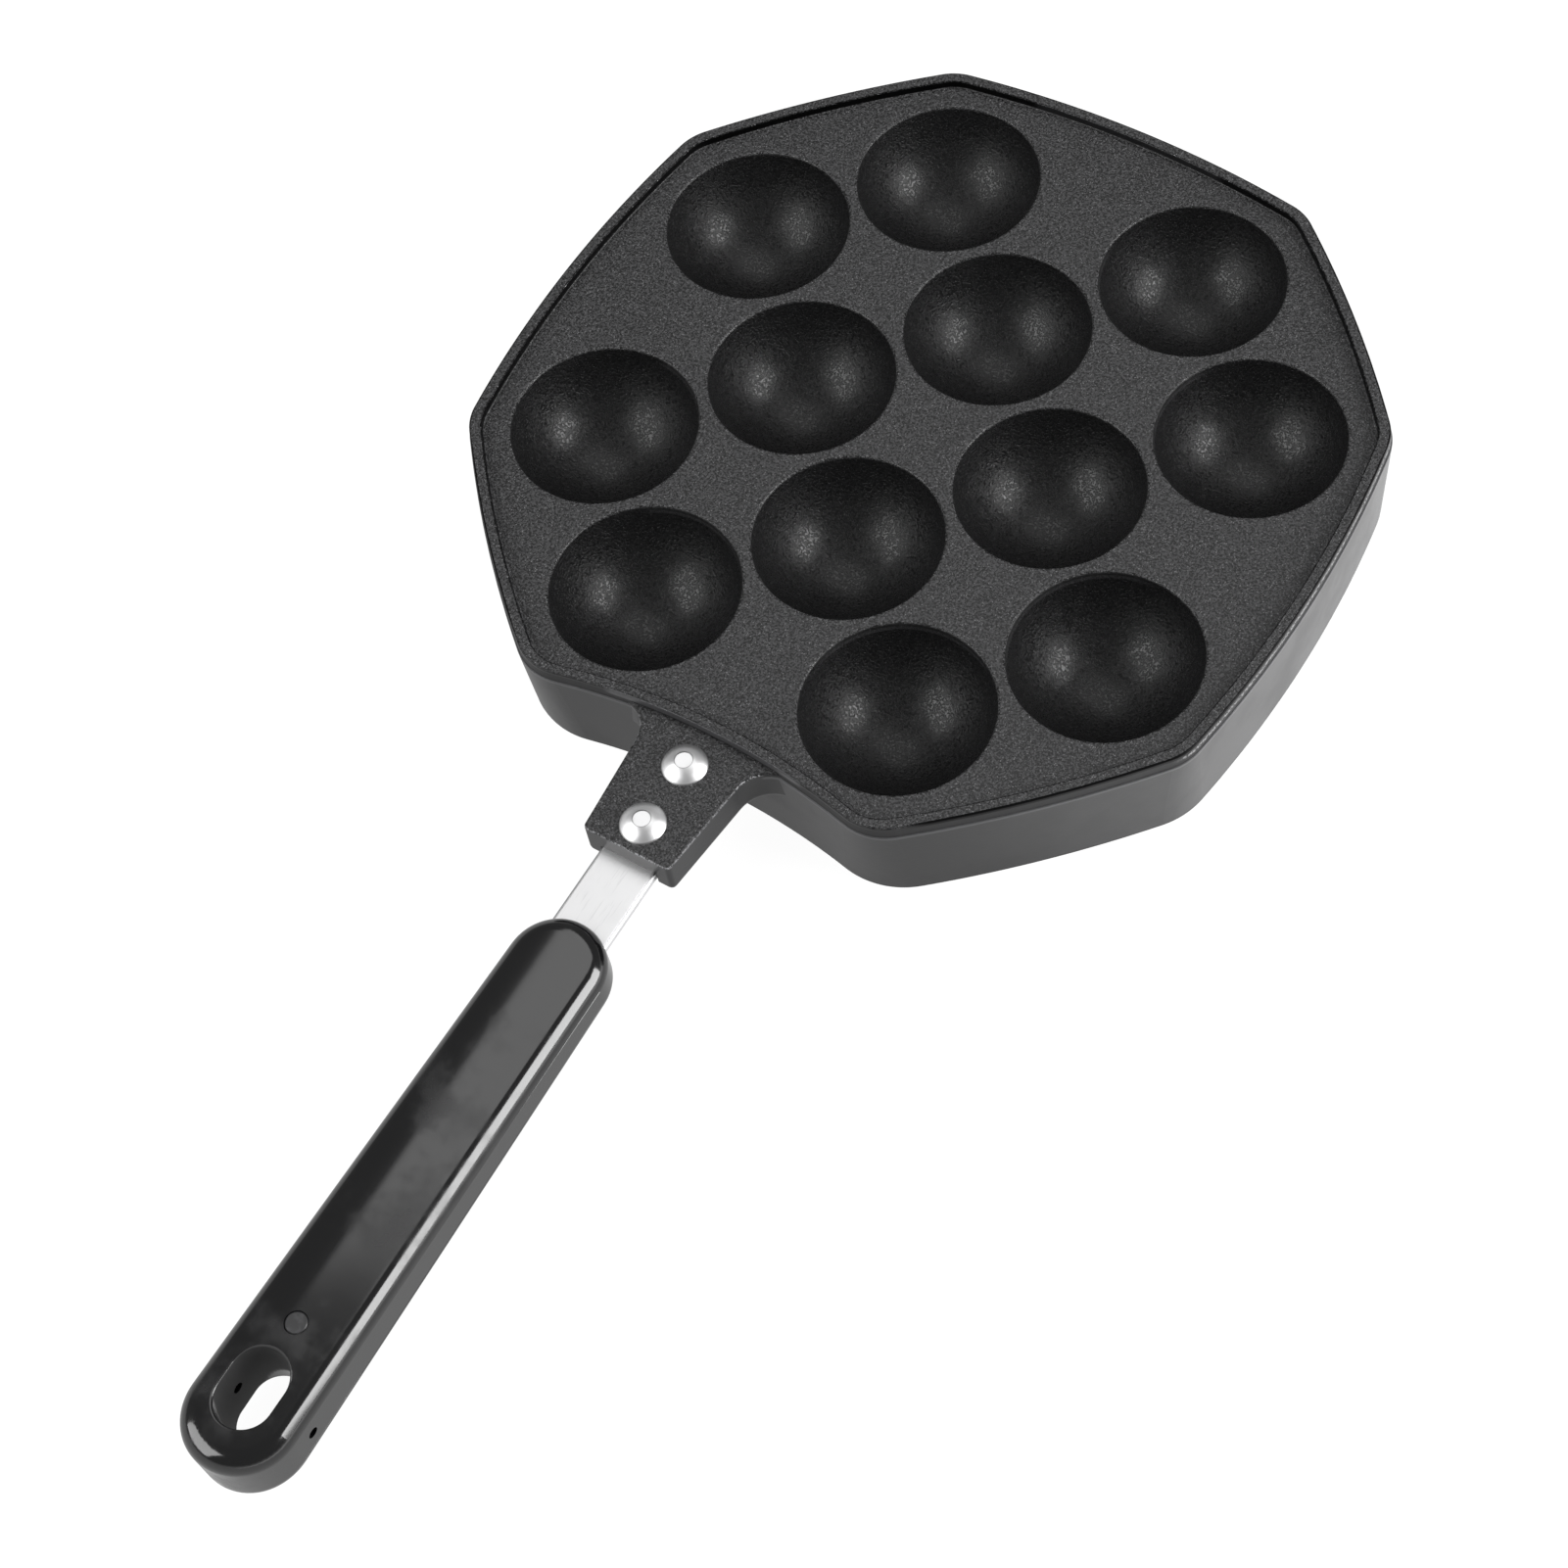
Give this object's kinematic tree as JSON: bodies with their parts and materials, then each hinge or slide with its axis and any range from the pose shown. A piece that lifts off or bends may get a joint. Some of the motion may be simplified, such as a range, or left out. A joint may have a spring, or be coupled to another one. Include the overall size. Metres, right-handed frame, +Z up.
{
  "type": "takoyaki pan",
  "caption": "Cast takoyaki pan with half-round cups in an eight-sided griddle, a raised rim, and a riveted steel strap with a black moulded grip and a hanging hole.",
  "frame": {"origin": "on the surface the pan stands on, under the middle of the cups", "axes": "+Z up; -Y along the handle, from the griddle to the hanging hole; +X to the right of a cook looking along the handle at the cups (from the grip towards the griddle)"},
  "size_m": [0.1944, 0.3712, 0.028],
  "materials": {
    "pan_casting": "satin non-stick coat with fine light speckles",
    "handle_strap": "polished",
    "handle_rivets": "polished",
    "handle_grip": "smooth moulded phenolic, satin gloss",
    "grip_pin": "dull"
  },
  "bodies": {
    "root": {"pan_casting": "pan_casting", "handle_strap": "handle_strap", "handle_rivets": "handle_rivets", "handle_grip": "handle_grip", "grip_pin": "grip_pin"}
  },
  "joints": []
}
